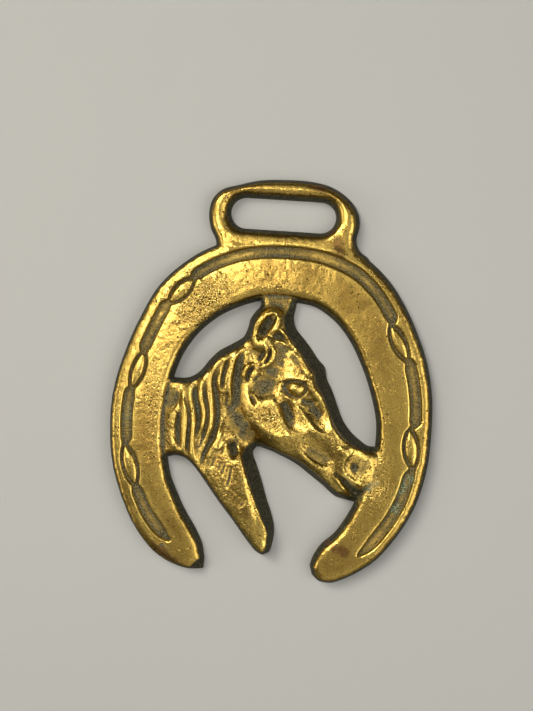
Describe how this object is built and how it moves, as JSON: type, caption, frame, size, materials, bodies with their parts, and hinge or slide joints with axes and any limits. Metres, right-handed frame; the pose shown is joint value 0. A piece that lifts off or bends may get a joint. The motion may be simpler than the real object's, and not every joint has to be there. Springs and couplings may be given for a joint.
{
  "type": "horse brass",
  "caption": "Flat-backed cast brass harness ornament: a horseshoe with a strap loop above it frames a horse's head in relief.",
  "frame": {"origin": "middle of the footprint, on the flat back", "axes": "+Y from the heels of the shoe to the strap loop, +Z out of the relief, +X to the viewer's right when looking at the relief with the loop up"},
  "size_m": [0.0728, 0.0901, 0.007],
  "materials": {
    "brass": "old polished cast brass: bright on the high places, brown in the slopes, grey-green in the hollows"
  },
  "bodies": {
    "root": {"horse_brass": "brass"}
  },
  "joints": []
}
